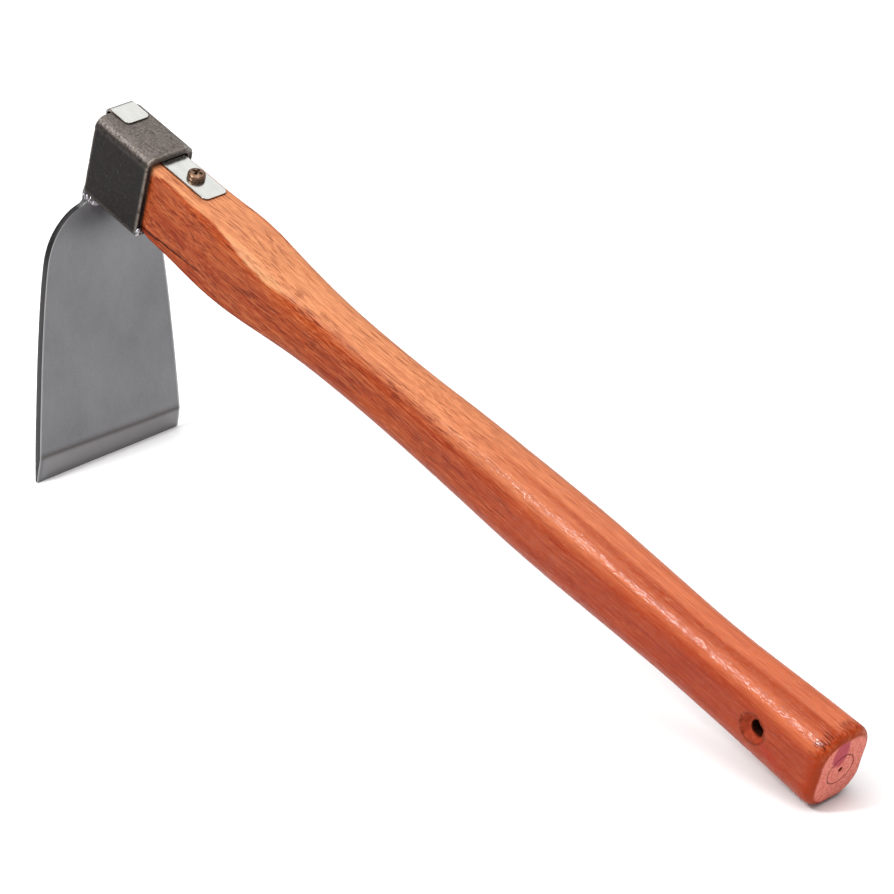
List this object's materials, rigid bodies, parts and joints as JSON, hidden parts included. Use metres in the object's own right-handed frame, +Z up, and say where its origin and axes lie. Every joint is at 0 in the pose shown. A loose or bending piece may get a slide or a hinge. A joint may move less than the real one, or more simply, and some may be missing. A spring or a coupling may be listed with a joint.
{
  "type": "grub hoe",
  "caption": "Short-handled grub hoe: flared steel blade welded under a folded eye, shaped hardwood handle held by a screwed sheet strap, hanging hole near the flared butt.",
  "frame": {"origin": "on the ground under the middle of the tool, which stands on its cutting edge and on the low rim of its butt", "axes": "+X from the blade towards the butt, along the handle seen from above; +Y across the tool, along the cutting edge; +Z up from the ground"},
  "size_m": [0.412, 0.0762, 0.1609],
  "materials": {
    "blade_steel": "satin, finely ground from neck to edge",
    "scaled_steel": "dark mill scale, worn bright on the rims",
    "weld_metal": "rippled weld bead, bare",
    "zinc_plate": "bright zinc plate",
    "bronze_plate": "bronze-brown plated steel",
    "varnished_wood": "red-orange stain under gloss varnish"
  },
  "bodies": {
    "root": {"blade": "blade_steel", "eye_collar": "scaled_steel", "neck_weld_near": "weld_metal", "neck_weld_far": "weld_metal", "seam_weld": "weld_metal", "retaining_strap": "zinc_plate", "strap_screw": "bronze_plate", "handle": "varnished_wood"}
  },
  "joints": []
}
